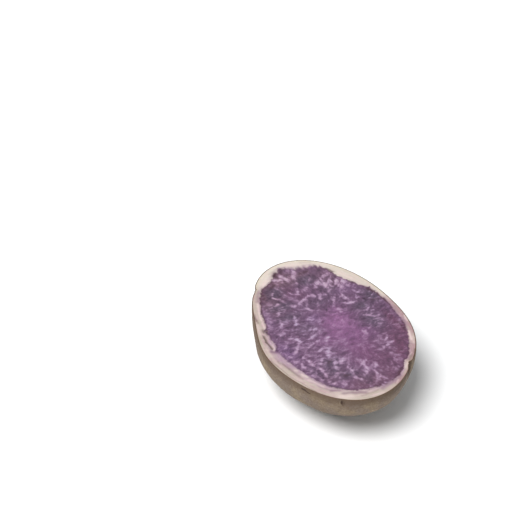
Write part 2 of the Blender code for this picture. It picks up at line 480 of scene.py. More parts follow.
PLUM = (
    (-17, 26, 1.8, 3.6, -20, 0.9),
    (-9.5, 30.5, 3, 1.8, 0, 0.6),
    (-6.5, 25, 2.2, 3.4, 0, 0.45),
    (-7.5, 35.6, 1.6, 1.6, 0, 0.6),
    (24, -9, 2.2, 8, 8, 0.9),
    (20, -20, 3, 7, -25, 0.9),
    (12, -25, 6, 6, 0, 0.6),
    (10, -33, 3, 1.8, 20, 0.6),
    (6, -18, 5.5, 7, 0, 0.6),
    (0, -33.5, 11, 5, 0, 0.6),
    (18.5, -13, 3.5, 6, -20, 0.5),
    (-3, 20, 3, 2.5, 0, 0.35),
)
VIOLET = (
    (-4.5, 6, 3.4, 2.6, 0, 0.75),
    (7.5, 31.5, 3.4, 2.6, 0, 0.8),
    (-21, -7, 3.2, 5.5, 10, 0.85),
    (-19.5, 14, 2.4, 6, -12, 0.55),
    (-9, -30.5, 4.5, 2.6, 0, 0.75),
    (4, -27, 3.4, 3, 0, 0.45),
    (14, 17.5, 4, 2.4, 0, 0.5),
)
DUSTY = (
    (-15, 22, 5, 9, -15, 0.7),
    (-6, 31, 8, 4.5, 0, 0.75),
    (6, 31, 7, 4, 0, 0.55),
    (11, 24, 5, 5, 0, 0.4),
    (-7, 35, 3, 2, 0, 0.6),
    (0, -33, 11, 5.5, 0, 0.35),
    (-11, -26, 5, 4, 0, 0.3),
)
COOL = (
    (-10, 4, 9, 9, 0, 0.8),
    (20, 8, 4, 8, 10, 0.6),
    (-7, -14, 5, 5, 0, 0.6),
)
SHADE = (
    (-15, 27, 3.5, 4, -25, 1),
    (-12, 22.5, 3, 2.5, 0, 0.7),
    (9.5, 32, 5, 2.2, -20, 0.9),
    (1.5, 28.5, 3.5, 2.5, 0, 0.7),
    (3, 20.5, 3, 2.5, 0, 0.7),
    (9, 8.5, 6, 3, 0, 0.75),
    (-1, 11.5, 6, 2.5, 0, 0.55),
    (20.5, 6, 3, 5, 10, 1),
    (-19, 4.5, 3, 2.2, 0, 0.7),
    (-12.5, 5, 2.5, 2, 0, 0.65),
    (8.5, -4.5, 3, 3.5, 0, 0.85),
    (18, -9.5, 3.5, 4, 0, 1),
    (20, -15.5, 2.5, 3, 0, 0.5),
    (-4.5, -28, 3, 2.2, 0, 1),
    (-12, -32.5, 3, 2, 0, 0.8),
)
ZONE_FRAY = 0.30
ZONE_FRAY_SIZE = 3.2
ZONE_SQUARENESS = 1.3
ZONE_STEEPNESS = 0.8

zone_sets = (PITH, PITH_CORE, SLATE, PLUM, VIOLET, DUSTY, COOL, SHADE)
print(f"{sum(len(zones) for zones in zone_sets)} ovals in {len(zone_sets)} sets")


# %% How far each place lies in a zone
def ovals(zones, seed):
    """How far each place of the cut lies in a set of soft ovals, from 0 to 1."""
    frayed = ZONE_FRAY * cloud(cut_places, ZONE_FRAY_SIZE, seed)
    outside = np.ones(len(cut_places))
    for x, y, wide, long, turn, strength in zones:
        away = cut_places[:, :2] - (x, y)
        cos, sin = math.cos(math.radians(turn)), math.sin(math.radians(turn))
        over = (away[:, 0] * cos + away[:, 1] * sin) / wide
        along = (away[:, 1] * cos - away[:, 0] * sin) / long
        inside = np.exp(-((over**2 + along**2) ** ZONE_SQUARENESS) * ZONE_STEEPNESS + frayed)
        outside *= 1.0 - np.clip(strength * inside, 0.0, 1.0)
    return 1.0 - outside


pith = ovals(PITH, (4.0, 4.0, 0.0))
core = ovals(PITH_CORE, (2.0, 7.0, 0.0))
slate = ovals(SLATE, (7.0, 1.0, 0.0))
plum = ovals(PLUM, (1.0, 6.0, 0.0))
violet = ovals(VIOLET, (9.0, 3.0, 0.0))
dusty = ovals(DUSTY, (3.0, 8.0, 0.0))
cool = ovals(COOL, (8.0, 4.0, 0.0))
shade = ovals(SHADE, (6.0, 2.0, 0.0))
for name, zone in (("pith", pith), ("slate", slate), ("plum", plum), ("dusty", dusty), ("shade", shade)):
    print(f"{name} covers {100 * zone.mean():.0f}% of the cut")

# %% [markdown]
# ## Fibres and flecks
#
# Starch and pigment lie in strands that run out from the pith, so the marbling is combed, not spotted.
# Plain noise stretched along one axis can't turn with the strands. Here each place looks along its own
# strand and takes the mean of the noise it meets, which draws the noise out along the strands everywhere.

# %% Comb noise along the strands
PITH_LINE = np.array(((2.0, 7.0), (6.0, -14.0)))
STRAND_WANDER = math.radians(75.0)
STRAND_WANDER_SIZE = 4.2
COMB_STEPS = 9
COMB_TAPER = 0.6
WISP_SIZE = 2.3
WISP_THICKNESS = 0.13


def strand_directions():
    """The way the strands run at each place: out from the line of the pith, wandering a little."""
    start, end = PITH_LINE
    span = end - start
    share = np.clip((cut_places[:, :2] - start) @ span / (span @ span), 0.0, 1.0)
    away = cut_places[:, :2] - (start + share[:, None] * span)
    turn = STRAND_WANDER * cloud(cut_places, STRAND_WANDER_SIZE, (3.0, 3.0, 7.0))
    angle = np.arctan2(away[:, 1], away[:, 0]) + turn
    return np.stack((np.cos(angle), np.sin(angle), np.zeros(len(angle))), axis=1)


def combed(size, reach, seed):
    """Noise drawn out along the strands, with its usual swing brought to 1. Sizes in millimetres."""
    total = np.zeros(len(cut_places))
    for step in np.linspace(-1.0, 1.0, COMB_STEPS):
        total += (1.0 - COMB_TAPER * abs(step)) * cloud(cut_places + strands * (step * reach), size, seed)
    return total / total.std()


def wisps(seed):
    """Thin curved wisps, where a smooth noise passes zero, broken off at random."""
    line = np.exp(-((cloud(cut_places, WISP_SIZE, seed) / WISP_THICKNESS) ** 2))
    return line * spread(-0.25, 0.35, cloud(cut_places, 1.6 * WISP_SIZE, seed[::-1]))


strands = strand_directions()
clouds = combed(3.6, 1.0, (9.5, 2.5, 4.5))
tufts = combed(1.9, 0.9, (5.5, 5.5, 8.5))
coarse_fibre = combed(1.10, 0.7, (2.5, 8.5, 0.5))
fine_fibre = combed(0.62, 0.40, (6.5, 3.5, 2.5))
rays = combed(1.5, 2.2, (4.5, 1.5, 1.5))
print(f"combed noise swings from {coarse_fibre.min():.1f} to {coarse_fibre.max():.1f}")

# %% [markdown]
# ## Flecks
#
# The largest flecks are set one by one, as short strokes, because the eye finds those first, and so are a
# few dark spots. Everything that makes the marbling lighter or darker is then added up to one number, the
# tone. Below 0 the flesh turns to dark strands, and above 0 to pink and then to pale flecks. The pith has
# long soft rays instead of the busy mixture.

# %% Set the largest flecks and the dark spots
# (from x, from y, to x, to y, width, strength), in millimetres from the box's middle
PALE_FLECKS = (
    (-8.6, 32.4, -4.6, 30.8, 1.9, 1), (-6.2, 34.6, -5, 32, 1.2, 0.9), (-1.6, 31.6, 0.2, 35.2, 1.5, 1),
    (-1.7, 26.6, -1.2, 30, 0.8, 0.7), (3.8, 22, 6.8, 25.8, 1, 0.9), (8.6, 19.4, 7.8, 26.4, 1.3, 0.9),
    (9.8, 27.2, 12.6, 28.3, 1.3, 0.8), (11, 23.8, 16, 21.2, 2.2, 0.9), (14.6, 19.8, 16.6, 18.2, 1.3, 0.8),
    (-3.8, 21.6, -2.6, 24.4, 1, 0.8), (-6.9, 24, -5.2, 20.8, 0.9, 0.7), (-14, 23, -11.6, 21, 0.9, 0.7),
    (-11.4, 21, -10.4, 18.2, 0.9, 0.7), (-10.4, 17.4, -7.8, 15.8, 1.2, 0.9),
    (-15.8, 18.3, -13.5, 19, 0.9, 0.6), (-13.6, 24.4, -12.6, 26.2, 0.7, 0.5),
    (-5.8, 16.2, -2.8, 17.6, 1.1, 1), (-1.8, 18.5, -0.6, 19.1, 1, 0.8), (0.8, 18.8, 1.6, 17.9, 0.9, 0.7),
    (2.4, 14, 3.8, 18, 0.9, 0.8), (5.6, 16.8, 8.6, 18.8, 1, 0.7), (6.2, 11.5, 8.4, 14, 0.9, 0.7),
    (11, 14.6, 12.6, 11.2, 1.5, 0.9), (10.5, 9.8, 13.5, 8.8, 1.1, 0.8), (16.8, 15, 18, 13.2, 1, 0.8),
    (16.8, 11.6, 16, 10.2, 0.8, 0.6), (20.4, 8.6, 23.4, 10.8, 0.5, 0.7), (-16, 12.5, -15.2, 14, 1.1, 0.8),
    (-17.4, 6.6, -16, 10, 1.3, 0.9), (-11.8, 5.6, -10.2, 10.4, 1, 1), (-4.6, 12.8, -3, 10.4, 1, 0.7),
    (-6.2, 7.4, -2.9, 5, 1.9, 0.6), (5.8, 9.8, 7.2, 5.8, 1, 0.6), (-19.4, 2.6, -18.2, 3.2, 1.3, 0.9),
    (-17.6, 5.2, -16.2, 4.2, 0.9, 0.6), (-7.6, 0.9, -5.2, 0.2, 0.9, 0.7),
    (-11.6, -0.6, -10.4, -0.2, 0.9, 0.7), (14, 1, 15.8, 0, 1.3, 0.9), (16.4, 2.6, 17.8, 3.6, 0.8, 0.6),
    (-17.6, 0.3, -15.6, -0.8, 1.1, 0.9), (-15.4, -1, -14.2, -3.8, 1.1, 0.9),
    (-10.8, -3.6, -7.4, -2.4, 1.1, 0.9), (-12.4, -7.6, -7, -5.5, 0.8, 0.9),
    (-5, -6.8, -3.4, -5.6, 1.1, 0.9), (-18, -8, -15.8, -5.5, 1.3, 0.7), (-21, -5, -19, -2.8, 0.8, 0.6),
    (-9.8, -11, -7.6, -10.6, 1.2, 1), (-6, -11, -8, -15.4, 1.5, 1), (-10, -14.8, -12.2, -17.4, 0.9, 0.8),
    (-15.4, -14.5, -14.8, -19, 1.1, 0.6), (-6.4, -19, -3.7, -18.6, 1.9, 0.9),
    (-13.5, -19.2, -12.7, -24.6, 1.1, 0.9), (-7.8, -21, -6.4, -24, 1.3, 0.9),
    (-4, -22.4, -3, -25, 1.1, 0.6), (-16, -23.4, -14.8, -25.6, 0.8, 0.7),
    (-3.5, -28.7, -1.9, -30.4, 1.2, 0.9), (2, -23.6, 3.9, -22.4, 1.5, 0.9), (2.6, -25.6, 1, -29, 1.2, 0.9),
    (6.4, -24.6, 4.6, -30.4, 1.1, 0.7), (14, -22.4, 17, -21, 1.6, 0.5), (11.8, -19, 18.2, -16.6, 1, 0.8),
    (15.6, -14.8, 17.4, -13.4, 1.1, 0.7), (9.8, -7.6, 11, -8.9, 1.4, 0.9),
    (12.6, -6.6, 14, -5.8, 0.8, 0.6), (19, -2.4, 20.4, -0.8, 0.9, 0.6), (18.4, -6, 19.6, -4.8, 1.1, 0.5),
    (22.4, -3.4, 23.4, -2.2, 0.9, 0.5), (-0.6, -35.4, 0.4, -33.8, 0.9, 0.6),
    (4.6, -31.8, 7, -35, 1.4, 0.6), (3.2, -37.2, 5.2, -35.6, 1.3, 0.9), (-10, -28.6, -8, -31.2, 1.1, 0.5),
    (-22.4, -7, -20.8, -10, 0.9, 0.5), (12.2, 21.8, 13.8, 18.4, 1.6, 0.8),
    (16.6, 21.8, 17.6, 19.8, 1.1, 0.7), (8.8, 22.6, 10.6, 20.2, 1.2, 0.6),
    (-20.4, -12.4, -18.8, -15, 1.1, 0.7), (-18.8, -16.4, -17.2, -19.4, 1.1, 0.7),
    (-16.6, -12, -15.6, -14.2, 0.9, 0.6), (-13.4, -27, -11.8, -29, 1.3, 0.7),
)
DARK_SPOTS = (
    (-8, 34.7, -6.9, 35.9, 1.9, 1), (-4.6, 36.2, -4.4, 37.2, 1, 0.7), (1, 32, 4.8, 32.8, 1.6, 0.7),
    (-12, 29.2, -10.4, 29.8, 1.2, 0.7), (-17, 24.2, -16.6, 26, 1, 0.7), (12.6, 31, 14.2, 28.4, 0.9, 0.8),
    (17.2, 20.6, 19, 18.8, 0.9, 0.7), (22.4, 13.4, 23.4, 11.4, 1.1, 0.8), (20.6, 7.6, 23.6, 7, 1, 0.6),
    (-23.8, 5, -23.2, 7, 0.8, 0.7), (24.8, -8, 24.6, -13, 0.9, 0.6), (-6.8, -26.4, -5.6, -27, 1.2, 0.6),
    (1.4, -35.8, 3.6, -36, 0.9, 0.6), (11.8, -33, 14.2, -31.2, 0.9, 0.7),
    (-9.6, -18.4, -7.6, -17.2, 1.2, 0.5),
)
# (size of the bends, how far they move a stroke), in millimetres
FLECK_BENDS = ((2.6, 1.1), (0.8, 0.45))
STROKE_BREADTH = 0.58


def strokes(marks, crispness, bend):
    """How strongly short strokes cover each place of the cut, from 0 to 1, with ragged borders."""
    places = cut_places[:, :2].copy()
    for size, reach in FLECK_BENDS:
        places[:, 0] += bend * reach * cloud(cut_places, size, (1.0, 2.0, 3.0))
        places[:, 1] += bend * reach * cloud(cut_places, size, (4.0, 5.0, 6.0))
    clear = np.ones(len(places))
    for x0, y0, x1, y1, width, strength in marks:
        start, span = np.array((x0, y0)), np.array((x1 - x0, y1 - y0))
        share = np.clip((places - start) @ span / (span @ span), 0.0, 1.0)
        away = np.linalg.norm(places - start - share[:, None] * span, axis=1)
        clear *= 1.0 - strength * np.exp(-((away / (STROKE_BREADTH * width)) ** crispness))
    return 1.0 - clear


set_flecks = strokes(PALE_FLECKS, 2.0, 0.25)
spots = strokes(DARK_SPOTS, 2.0, 0.4)
print(f"set flecks cover {100 * (set_flecks > 0.5).mean():.0f}% of the cut")

# %% Add up the tone of the flesh
PITH_SMOOTHS = 0.60
PLUM_SMOOTHS = 0.20
MOST_SMOOTH = 0.7
BUSY_OFFSET = -0.30
FLECK_STRENGTH = 4.6
SHADE_DEPTH = 1.8


def mixed(*layers):
    """Layers of noise added up, each given with its weight."""
    return sum(weight * layer for layer, weight in layers)


thin_wisps = np.maximum(wisps((3.0, 1.0, 5.0)), wisps((8.0, 6.0, 2.0)))
busy = 1.0 - np.clip(PITH_SMOOTHS * pith + PLUM_SMOOTHS * plum, 0.0, MOST_SMOOTH)
busy_tone = mixed((clouds, 0.45), (tufts, 0.66), (coarse_fibre, 0.70), (fine_fibre, 0.52), (thin_wisps, 0.55))
tone = busy * (busy_tone + BUSY_OFFSET)
tone += (1.0 - busy) * mixed((rays, 0.55), (tufts, 0.35))
tone -= SHADE_DEPTH * shade
tone += set_flecks * (FLECK_STRENGTH + mixed((coarse_fibre, 1.2), (fine_fibre, 0.5)))
print(f"the flesh's tone swings from {tone.min():.1f} to {tone.max():.1f}")

# %% [markdown]
# ## Relief of the cut
#
# A cut potato is flat but not perfect. The knife leaves faint ridges, the moist flesh settles a hair
# below the ring, and the skin stands as a thin lip round it. At the left the blade tore a sliver of the
# ring loose, which leaves a narrow open slit, and it is modelled as a groove, because a painted line
# would stay bright in it.

# %% Move the cut's points up and down
LIP_WIDTH = 0.28
LIP_HEIGHT = 0.10 * MM
FLESH_SINKS = 0.10 * MM
GRAIN_HEIGHT = 0.028 * MM
KNIFE_RIDGE = 0.018 * MM
KNIFE_SPACING = 1.7
KNIFE_TURN = math.radians(62.0)
KNIFE_WAVER = 2.0
KNIFE_WAVER_SIZE = 14.0
SLIT = ((-25.5, 4.6, -25.7, 1.0, 0.75, 1.0), (-25.7, 1.0, -25.2, -3.0, 0.8, 1.0))
SLIT_DEPTH = 0.55 * MM
NICK = ((-24.3, 16.6, -24.8, 13.4, 0.45, 0.9), (-24.4, 7.0, -23.2, 6.6, 0.6, 0.9))
NICK_DEPTH = 0.22 * MM

slit = strokes(SLIT, 2.4, 0.25)
nick = strokes(NICK, 2.0, 0.25)
over_knife = cut_places[:, 0] * math.cos(KNIFE_TURN) + cut_places[:, 1] * math.sin(KNIFE_TURN)
waver = KNIFE_WAVER * cloud(cut_places, KNIFE_WAVER_SIZE, (5.0, 5.0, 5.0))
knife = np.sin(math.tau * over_knife / KNIFE_SPACING + waver)
lift = LIP_HEIGHT * (1.0 - spread(0.4 * LIP_WIDTH, 1.6 * LIP_WIDTH, from_rim))
lift -= FLESH_SINKS * spread(-0.3, 0.9, past_ring)
lift += GRAIN_HEIGHT * (coarse_fibre + fine_fibre) * spread(0.0, 0.8, past_ring)
lift += KNIFE_RIDGE * knife * spread(0.6, 1.6, from_rim)
lift -= SLIT_DEPTH * slit + NICK_DEPTH * nick
lift *= spread(0.0, 0.12, from_rim)
points[on_cut, 2] += lift
print(f"the cut's relief runs from {lift.min() / MM:.2f} to {lift.max() / MM:.2f} mm")

# %% [markdown]
# ## Tints round the ring
#
# The ring isn't one cream either. It is clear at the stem end and turns to a dull rose along the right
# flank, some of it is tanned by the air, and pigment has seeped into its inner side, which is lilac. One
# ring noise couldn't put these where they are, so each is a smooth curve through values read round the
# edge, as the width was.

# %% Tints round the ring
# Degrees round the edge, and how far the cream of the ring turns to a dull rose there
RING_DULLNESS = (
    (0, 1), (10, 0.7), (20, 0.15), (35, 0.15), (45, 0.1), (60, 0), (100, 0), (114, 0), (122, 0.5),
    (132, 0.5), (142, 0.45), (150, 0.45), (160, 0.42), (171, 0.58), (182, 0.5), (205, 0.5), (215, 0.42),
    (228, 0.4), (240, 0.55), (252, 0.3), (262, 0.25), (268, 0.35), (280, 0.5), (288, 1), (300, 0.5),
    (307, 1), (315, 1), (322, 0.75), (329, 0.7), (338, 1), (350, 0.9),
)
# Degrees round the edge, and how much of the ring is tanned there
RING_TANNED = (
    (0, 0.10), (30, 0.05), (55, 0.15), (75, 0), (110, 0), (130, 0.15), (150, 0.3), (162, 0.35),
    (180, 0.15), (215, 0.2), (240, 0.15), (252, 0.1), (262, 0.4), (280, 0.2), (300, 0.2), (330, 0.1),
)
# Degrees round the edge, the strength of the lilac on the ring's inner side, and how far across it starts
RING_LILAC = (
    (0, 0.35), (45, 0.25), (60, 0.15), (80, 0.45), (112, 0.35), (130, 0.45), (158, 0.3), (172, 0.75),
    (195, 0.95), (225, 0.75), (240, 0.8), (252, 0.45), (262, 0.5), (285, 0.7), (310, 0.4), (328, 0.2),
    (340, 0.5),
)
LILAC_STARTS = (
    (0, 0.4), (45, 0.6), (90, 0.55), (130, 0.5), (158, 0.55), (172, 0.45), (195, 0.35), (225, 0.5),
    (240, 0.45), (252, 0.6), (285, 0.4), (320, 0.45),
)
LILAC_FADE = 0.45
LILAC_WANDER = 0.12
LILAC_WANDER_SIZE = 2.4

dullness = round_the_edge(RING_DULLNESS, degrees)
tanned = round_the_edge(RING_TANNED, degrees)
lilac_start = round_the_edge(LILAC_STARTS, degrees)
lilac_start += LILAC_WANDER * cloud(cut_places, LILAC_WANDER_SIZE, (7.0, 7.0, 1.0))
lilac = round_the_edge(RING_LILAC, degrees) * spread(0.0, LILAC_FADE, across_ring - lilac_start)
print(f"the ring's dullness runs from {dullness.min():.1f} to {dullness.max():.1f}")

# %% [markdown]
# ## Streaks of the ring
#
# The tuber's vessels lie in the ring, and cut lengthwise they show as streaks along it: brown, mauve or
# pale. They are strokes like the flecks, but it is easier to say how far round the edge and how deep
# below the skin each lies, so a helper turns that into a place on the cut.

# %% Streaks of the ring
# Marks of the ring: (from degree, from depth, to degree, to depth, width, strength), in millimetres
BROWN_STREAKS = (
    (143, 0.5, 152.5, 1.4, 0.6, 0.65), (160.5, 2.6, 164.5, 2.7, 1, 0.8), (163, 3, 168, 3.9, 0.6, 0.5),
    (196, 0.7, 214, 0.8, 0.4, 0.55), (214, 0.8, 236, 0.5, 0.35, 0.45), (262, 2.4, 272, 3.1, 0.7, 0.4),
    (200, 2.4, 203, 2.5, 0.7, 0.45), (205, 3.1, 212, 3.4, 0.7, 0.55), (212, 3.4, 225, 3.1, 0.8, 0.5),
    (304, 1.5, 309, 1.6, 1.5, 0.55), (312, 0.5, 315, 0.55, 0.6, 0.9), (257, 4.3, 258, 4.6, 0.5, 0.5),
    (233, 0.3, 236, 0.3, 0.6, 0.5), (77, 1, 83, 1.6, 0.9, 0.22), (96, 1.9, 104, 2.5, 0.9, 0.22),
)
MAUVE_STREAKS = (
    (188, 3.1, 191.5, 5.3, 1.5, 0.95), (204, 3.4, 222, 3.6, 0.9, 0.4), (181, 3, 187, 3.2, 0.7, 0.45),
    (245, 3.4, 250, 4.6, 1.1, 0.7), (252, 3.4, 265, 3.7, 1.2, 0.75), (194, 2.4, 200, 2.7, 0.6, 0.4),
    (238, 3.3, 246, 3.6, 0.8, 0.35), (120, 2.5, 129, 2.6, 1.3, 0.5), (275, 2.6, 283, 2.7, 1.6, 0.6),
    (276, 4.4, 282, 4.6, 1.8, 0.5), (336, 2.4, 345, 1.5, 0.5, 0.5), (346, 1.7, 352, 0.9, 0.5, 0.35),
    (355, 1.8, 362, 1.6, 0.8, 0.4), (285, 1.8, 290, 1.7, 1, 0.5), (320.5, 0.8, 319.5, 2.6, 0.5, 0.4),
    (8, 1.9, 16, 1.8, 0.7, 0.4),
)
PALE_STREAKS = (
    (132, 2.4, 149, 2.7, 0.8, 0.7), (152, 3, 159, 3.3, 0.6, 0.5), (155, 1, 166, 1.2, 1.2, 0.4),
    (183, 1.6, 206, 1.6, 0.7, 0.3), (223, 4.9, 227, 5, 0.9, 0.7), (216, 4.6, 218, 5.2, 0.7, 0.5),
    (182, 4.2, 188, 4.6, 1.1, 0.6), (229, 4.4, 240, 4.2, 0.8, 0.5), (250, 1.2, 256, 2.4, 2, 0.6),
    (268, 1.2, 274, 1, 0.8, 0.4), (324, 1.9, 332, 2.1, 0.9, 0.9), (321, 1.1, 327, 1.3, 1, 0.5),
    (344, 0.7, 350, 0.6, 0.7, 0.7), (109, 3.8, 113, 3.4, 1.6, 0.7), (50, 3.6, 60, 3.8, 1.2, 0.5),
    (86, 2.4, 92, 2.2, 1.4, 0.4), (297, 1.9, 302.5, 2, 0.9, 0.5), (284.5, 1, 286.5, 1.3, 0.6, 0.5),
    (309, 1.9, 311, 1.7, 0.5, 0.4),
)


def on_ring(marks):
    """Marks given by degrees round the edge and depth from it, as places on the cut."""
    placed = []
    for degree0, depth0, degree1, depth1, width, strength in marks:
        ends = []
        for degree, depth in ((degree0, depth0), (degree1, depth1)):
            reach = outline_radius(math.radians(degree)) / MM - depth
            ends += [reach * math.cos(math.radians(degree)) + outline_middle.x / MM]
            ends += [reach * math.sin(math.radians(degree)) + outline_middle.y / MM]
        placed.append((*ends, width, strength))
    return placed


brown_streaks, mauve_streaks, pale_streaks = (
    strokes(on_ring(marks), 2.0, 0.25) for marks in (BROWN_STREAKS, MAUVE_STREAKS, PALE_STREAKS)
)
print(f"brown streaks cover {100 * (brown_streaks > 0.3).mean():.1f}% of the cut")

# %% [markdown]
# ## Where ring and flesh meet
#
# The border is crisp in some places and melts over 2 mm in others. At the stem end pale rays of the ring
# reach into the flesh, and here and there a tongue of flesh reaches into the ring. So the distance past
# the ring is pushed and pulled by strokes, and it is stored with the softness, by which the material will
# divide it. The flesh's own border is darker in places, where the pigment has gathered.

# %% Rays, tongues and softness
# Pale rays of the ring that reach into the flesh, and tongues of flesh that reach into the ring
PALE_RAYS = (
    (73.5, 2.6, 74, 6.4, 0.9, 0.8), (76.8, 2.8, 77.2, 4.8, 0.6, 0.6), (79.8, 3.2, 80.6, 6.4, 1.1, 0.9),
    (83.2, 3.8, 83.6, 6.2, 0.9, 0.9), (87.6, 4.2, 88, 7.2, 0.8, 0.7), (98.6, 2.4, 99.2, 6.8, 0.8, 0.8),
    (103.8, 3.4, 104.4, 6.8, 0.9, 0.9), (271, 4.6, 273, 6, 0.8, 0.6), (275, 3.4, 277, 5.4, 0.7, 0.7),
    (283, 2.8, 284, 4.6, 0.6, 0.5),
)
FLESH_TONGUES = (
    (96.4, 1.9, 96, 3.4, 0.8, 0.9), (93, 2.6, 93.4, 4.6, 0.7, 0.9), (85.6, 3, 85.2, 5, 0.6, 0.8),
    (189.5, 3.4, 190.5, 5.4, 1.2, 0.9), (72, 2.2, 71.6, 3.6, 0.7, 0.8), (32.5, 2.1, 32, 3.2, 0.8, 0.7),
    (161.5, 2.9, 162.5, 4, 0.8, 0.7), (289, 1.5, 289.5, 3, 0.9, 0.7),
)
TONGUE_REACH = 0.7
RAY_REACH = 1.1
# Degrees round the edge, and over how many millimetres the ring passes into the flesh there
BORDER_SOFTNESS = (
    (0, 0.8), (35, 1), (50, 0.8), (70, 1.3), (78, 2.5), (88, 2.7), (97, 1.9), (107, 1), (125, 1.1),
    (150, 0.8), (175, 0.9), (200, 1.2), (225, 1), (245, 1.4), (262, 1.1), (275, 1.4), (285, 1.3),
    (292, 0.7), (320, 0.7), (345, 0.9),
)
# Degrees round the edge, and how dark the flesh's own border is there
FLESH_BORDER = (
    (0, 0.6), (12, 0.95), (24, 0.95), (32, 0.7), (45, 0.3), (60, 0.5), (70, 0.7), (85, 0.2), (98, 0.7),
    (108, 0.5), (116, 0.95), (132, 0.95), (150, 0.7), (170, 0.4), (200, 0.3), (230, 0.15), (248, 0.35),
    (262, 0.2), (273, 0.8), (279, 0.1), (289, 0.95), (297, 0.7), (318, 0.6), (330, 0.3), (340, 0.85),
    (350, 0.4),
)
BORDER_AT = 0.35
BORDER_WIDTH = 0.42

softness = round_the_edge(BORDER_SOFTNESS, degrees)
into_flesh = past_ring + TONGUE_REACH * strokes(on_ring(FLESH_TONGUES), 2.0, 0.4)
into_flesh -= RAY_REACH * strokes(on_ring(PALE_RAYS), 2.0, 0.4)
border = round_the_edge(FLESH_BORDER, degrees) * np.exp(-(((past_ring - BORDER_AT) / BORDER_WIDTH) ** 2))
print(f"the ring passes into the flesh over {softness.min():.1f} to {softness.max():.1f} mm")

# %% [markdown]
# ## Creases in the skin
#
# Under the cut the skin has short creases that run along the edge, where the knife pressed it or the cork
# cracked. They are thinner than the mesh could show as grooves, so only a mask is worked out, for the
# painted shade that stands in for their grooves in the colour.

# %% Creases in the skin
# (degrees round the edge, depth below the cut, length, thickness, strength), in millimetres
CREASES = (
    (228.0, 1.3, 2.6, 0.55, 1.0), (231.0, 1.7, 2.8, 0.35, 0.9), (243.0, 2.6, 6.0, 0.30, 0.45),
    (266.0, 3.6, 5.0, 0.30, 0.40), (283.0, 1.9, 4.0, 0.35, 0.55), (214.0, 3.2, 5.0, 0.35, 0.45),
    (120.0, 4.0, 6.0, 0.30, 0.40), (30.0, 2.6, 5.0, 0.30, 0.40),
)
# A usual distance from the cut's middle to its edge, which turns an angle into millimetres along the edge
CREASE_ARM = 36.0
CREASE_WANDER = 0.35
CREASE_WANDER_SIZE = 2.2


def creases(angle, depth, places):
    """A mask of short creases in the skin that run along the cut, from 0 to 1."""
    found = np.zeros(len(angle))
    wander = CREASE_WANDER * cloud(places, CREASE_WANDER_SIZE, (2.0, 2.0, 4.0))
    for at, deep, length, thickness, strength in CREASES:
        along = turned_by(angle, math.radians(at)) * CREASE_ARM
        across = depth - deep + wander
        line = np.exp(-((2.0 * along / length) ** 4) - (across / thickness) ** 2)
        found = np.maximum(found, strength * line)
    return found


below_cut = (TOP - points[on_skin, 2]) / MM
crease = creases(around[on_skin], below_cut, points[on_skin] / MM)
print(f"creases cover {(crease > 0.3).sum()} points of the skin")

# %% [markdown]
# ## Numbers for the materials
#
# A material can read a number that is stored at each point of the mesh. That is how what was worked out
# above reaches the shader: no picture is painted, and the numbers run smoothly from point to point.

# %% Build the mesh with its numbers
CUT_NUMBERS = {
    "from_rim": from_rim, "ring_east": np.cos(around[on_cut]), "ring_north": np.sin(around[on_cut]),
    "pith": pith, "core": core, "slate": slate, "plum": plum, "violet": violet, "dusty": dusty, "cool": cool,
    "tone": tone, "spots": spots, "dullness": dullness, "tanned": tanned, "lilac": lilac,
    "brown_streaks": brown_streaks, "mauve_streaks": mauve_streaks, "pale_streaks": pale_streaks,
    "into_flesh": into_flesh, "softness": softness, "border": border, "opened": np.maximum(slit, nick),
}
SKIN_NUMBERS = {"scar_brown_and_eye_painted_shade": scar_brown_and_eye_painted_shade, "eye_worn": eye_worn, "below_cut": below_cut, "crease": crease}
SHARP_EDGE = math.radians(50.0)


def store(numbers, where):
    """Stores numbers at some points of the mesh, and 0 at the others."""
    for name, values in numbers.items():
        whole = np.zeros(len(mesh.vertices), np.float32)
        whole[where] = values
        mesh.attributes.new(name, "FLOAT", "POINT").data.foreach_set("value", whole)


mesh.vertices.foreach_set("co", points.astype(np.float32).ravel())
store(CUT_NUMBERS, on_cut)
store(SKIN_NUMBERS, on_skin)
corners = np.empty(len(mesh.loops), np.int32)
mesh.loops.foreach_get("vertex_index", corners)
face_on_cut = on_cut[corners].reshape(-1, 4).any(axis=1)
mesh.polygons.foreach_set("material_index", face_on_cut.astype(np.int32))
mesh.polygons.foreach_set("use_smooth", np.ones(len(mesh.polygons), bool))
mesh.set_sharp_from_angle(angle=SHARP_EDGE)
mesh.update()
potato = bpy.data.objects.new("potato_half_fine", mesh)
scene.collection.objects.link(potato)
print(f"{len(mesh.polygons)} faces, {face_on_cut.sum()} of them on the cut")

# %% [markdown]
# ## A small kit for materials
#
# A material is a tree of nodes. Written out in full, each node takes three or four lines, and the recipe
# gets lost. These helpers add one node per line and read like the recipe itself. Colours are given as
# they look on a screen, from 0 to 255, and turned into the linear values that a renderer adds and
# multiplies.

# %% Helpers for nodes
# About the ring's distance from the middle of the cut, in millimetres
RING_RADIUS = 35.0


def paint(red, green, blue):
    """A colour as a screen shows it, from 0 to 255, as linear values with alpha."""
    shares = [value / 255.0 for value in (red, green, blue)]
    linear = [s / 12.92 if s <= 0.04045 else ((s + 0.055) / 1.055) ** 2.4 for s in shares]
    return (*linear, 1.0)


